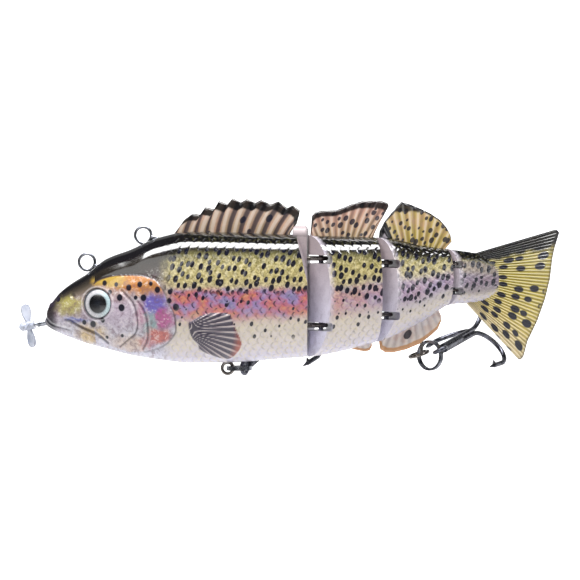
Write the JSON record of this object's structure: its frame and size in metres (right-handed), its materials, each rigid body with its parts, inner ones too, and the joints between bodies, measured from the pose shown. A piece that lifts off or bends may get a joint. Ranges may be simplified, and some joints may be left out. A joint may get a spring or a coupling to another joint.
{
  "type": "jointed swimbait lure",
  "caption": "Hard fish-shaped lure with hinged body segments, a motor-driven nose propeller, wire line ties and treble hooks on split rings.",
  "frame": {"origin": "centre of the front line-tie eye's bore", "axes": "+X runs from the nose towards the tail along the straight head segment, +Y is the fish's right side, +Z is its back"},
  "size_m": [0.1346, 0.0438, 0.0443],
  "materials": {
    "painted_shell": "glossy clear coat over a printed trout pattern",
    "fish_eye": "glossy domed",
    "bright_wire": "bright plated",
    "steel_wire": "drawn wire",
    "hook_steel": "black nickel",
    "clear_plastic": "clear, slightly milky",
    "chrome_tube": "polished",
    "seal_rubber": "matt",
    "motor_steel": "drawn can",
    "end_cap_plastic": "moulded",
    "cell_foil": "foil pouch",
    "board_laminate": "solder mask",
    "light_lens": "clear red",
    "ballast_metal": "cast",
    "lead_insulation": "insulated"
  },
  "bodies": {
    "head": {"head_shell_left": "painted_shell", "head_shell_right": "painted_shell", "eye_left": "fish_eye", "eye_right": "fish_eye", "line_tie_front": "bright_wire", "line_tie_rear": "bright_wire", "belly_hook_hanger": "steel_wire", "stern_tube": "chrome_tube", "shaft_seal": "seal_rubber", "motor_can": "motor_steel", "motor_end_cap": "end_cap_plastic", "battery_cell": "cell_foil", "circuit_board": "board_laminate", "status_light": "light_lens", "ballast_weight": "ballast_metal", "contact_leads": "lead_insulation", "motor_leads": "lead_insulation", "battery_leads": "lead_insulation", "hinge_loop_1_upper": "steel_wire", "hinge_loop_1_lower": "steel_wire"},
    "screw": {"propeller": "clear_plastic", "propeller_shaft": "chrome_tube"},
    "middle": {"middle_shell_left": "painted_shell", "middle_shell_right": "painted_shell", "hinge_pin_1": "steel_wire", "hinge_loop_2_upper": "steel_wire", "hinge_loop_2_lower": "steel_wire"},
    "rear": {"rear_shell_left": "painted_shell", "rear_shell_right": "painted_shell", "hinge_pin_2": "steel_wire", "hinge_loop_3_upper": "steel_wire", "hinge_loop_3_lower": "steel_wire", "rear_hook_hanger": "steel_wire"},
    "tail": {"tail_shell_left": "painted_shell", "tail_shell_right": "painted_shell", "hinge_pin_3": "steel_wire"},
    "belly_ring": {"belly_split_ring": "bright_wire"},
    "belly_hook": {"belly_treble_hook": "hook_steel"},
    "rear_ring": {"rear_split_ring": "bright_wire"},
    "rear_hook": {"rear_treble_hook": "hook_steel"}
  },
  "joints": [
    {"name": "propeller_spin", "type": "hinge", "parent": "head", "child": "screw", "pos_m": [-0.0162, 0, -0.0163], "axis": [0.9816, 0, 0.1908], "continuous": true},
    {"name": "front_hinge", "type": "hinge", "parent": "head", "child": "middle", "pos_m": [0.0589, 0, 0], "axis": [0, 0, 1], "range_deg": [-34, 10]},
    {"name": "middle_hinge", "type": "hinge", "parent": "middle", "child": "rear", "pos_m": [0.07484, 0.00339, 0], "axis": [0, 0, 1], "range_deg": [-31, 13]},
    {"name": "tail_hinge", "type": "hinge", "parent": "rear", "child": "tail", "pos_m": [0.09109, 0.00962, 0], "axis": [0, 0, 1], "range_deg": [-22, 14]},
    {"name": "belly_ring_swing", "type": "hinge", "parent": "head", "child": "belly_ring", "pos_m": [0.0355, 0, -0.0263], "axis": [0, 1, 0], "range_deg": [0, 120]},
    {"name": "belly_hook_swing", "type": "hinge", "parent": "belly_ring", "child": "belly_hook", "pos_m": [0.03939, 0.00273, -0.0263], "axis": [-0.9397, 0.342, 0], "range_deg": [0, 60]},
    {"name": "rear_ring_swing", "type": "hinge", "parent": "rear", "child": "rear_ring", "pos_m": [0.08448, 0.0079, -0.023], "axis": [0.5446, 0.8387, 0], "range_deg": [-20, 15]},
    {"name": "rear_hook_swing", "type": "hinge", "parent": "rear_ring", "child": "rear_hook", "pos_m": [0.08806, 0.00557, -0.02172], "axis": [-0.3544, 0.2302, 0.9063], "range_deg": [-10, 40]}
  ]
}
